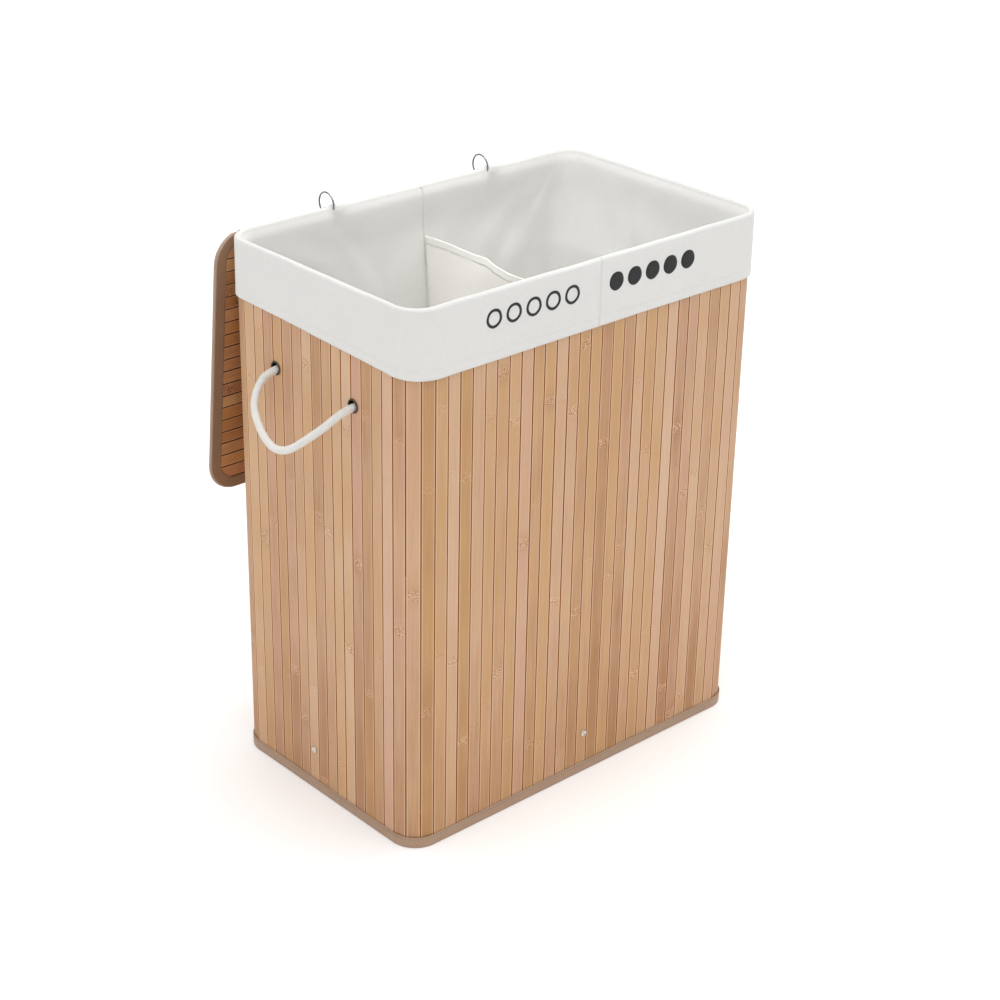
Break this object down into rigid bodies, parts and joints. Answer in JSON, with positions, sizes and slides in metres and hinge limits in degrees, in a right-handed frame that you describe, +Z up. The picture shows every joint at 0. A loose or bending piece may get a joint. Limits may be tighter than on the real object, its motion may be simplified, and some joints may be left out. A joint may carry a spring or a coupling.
{
  "type": "laundry hamper with two bins",
  "caption": "Upright laundry hamper with slatted bamboo walls, a cloth liner split into bins, rope handles and a ring-hung lid.",
  "frame": {"origin": "middle of the underside, on the floor", "axes": "+Z up, -Y towards the front, +X to the right seen from the front"},
  "size_m": [0.624, 0.3539, 0.645],
  "materials": {
    "bamboo": "satin bamboo slats, each of its own tone",
    "lid_bamboo": "satin bamboo slats, each of its own tone",
    "tape": "matt woven binding tape, stitched",
    "backing": "plain woven backing cloth",
    "canvas": "off-white plain woven polyester and cotton cloth",
    "cord": "off-white twisted cotton rope",
    "webbing": "off-white flat webbing",
    "board": "thin brown fibreboard",
    "bronze": "dark bronze plated eyelets, polished rims",
    "nickel": "nickel plated rivet heads",
    "steel": "drawn steel wire"
  },
  "bodies": {
    "basket": {"front_slats": "bamboo", "back_slats": "bamboo", "left_slats": "bamboo", "right_slats": "bamboo", "back_right_corner_slats": "bamboo", "back_left_corner_slats": "bamboo", "front_left_corner_slats": "bamboo", "front_right_corner_slats": "bamboo", "wall_backing_cloth": "backing", "wall_seam_tape": "tape", "bottom_binding": "tape", "top_binding": "tape", "base_cloth": "backing", "base_board": "board", "base_wire_frame": "steel", "right_strap": "webbing", "back_strap": "webbing", "left_strap": "webbing", "front_strap": "webbing", "right_rivet": "nickel", "back_rivet": "nickel", "left_rivet": "nickel", "front_rivet": "nickel", "right_rivet_washer": "steel", "back_rivet_washer": "steel", "left_rivet_washer": "steel", "front_rivet_washer": "steel", "left_front_eyelet": "bronze", "left_back_eyelet": "bronze", "right_front_eyelet": "bronze", "right_back_eyelet": "bronze", "left_front_eyelet_washer": "bronze", "left_back_eyelet_washer": "bronze", "right_front_eyelet_washer": "bronze", "right_back_eyelet_washer": "bronze", "left_front_rope_knot": "cord", "left_back_rope_knot": "cord", "right_front_rope_knot": "cord", "right_back_rope_knot": "cord", "liner_left_bin": "canvas", "liner_right_bin": "canvas", "liner_left_floor": "canvas", "liner_right_floor": "canvas", "liner_left_cuff": "canvas", "liner_right_cuff": "canvas", "liner_divider": "canvas", "left_lid_ring": "steel", "right_lid_ring": "steel"},
    "lid": {"lid_slats": "lid_bamboo", "lid_board": "backing", "lid_binding": "tape", "left_lid_eyelet": "bronze", "right_lid_eyelet": "bronze"},
    "left_handle": {"left_handle_rope": "cord"},
    "right_handle": {"right_handle_rope": "cord"}
  },
  "joints": [
    {"name": "lid_swing", "type": "hinge", "parent": "basket", "child": "lid", "pos_m": [0, 0.16045, 0.63335], "axis": [1, 0, 0], "range_deg": [0, 264]},
    {"name": "left_handle_swing", "type": "hinge", "parent": "basket", "child": "left_handle", "pos_m": [-0.262, 0.004, 0.502], "axis": [0, 1, 0], "range_deg": [0, 140]},
    {"name": "right_handle_swing", "type": "hinge", "parent": "basket", "child": "right_handle", "pos_m": [0.262, 0.004, 0.502], "axis": [0, -1, 0], "range_deg": [0, 140]}
  ]
}
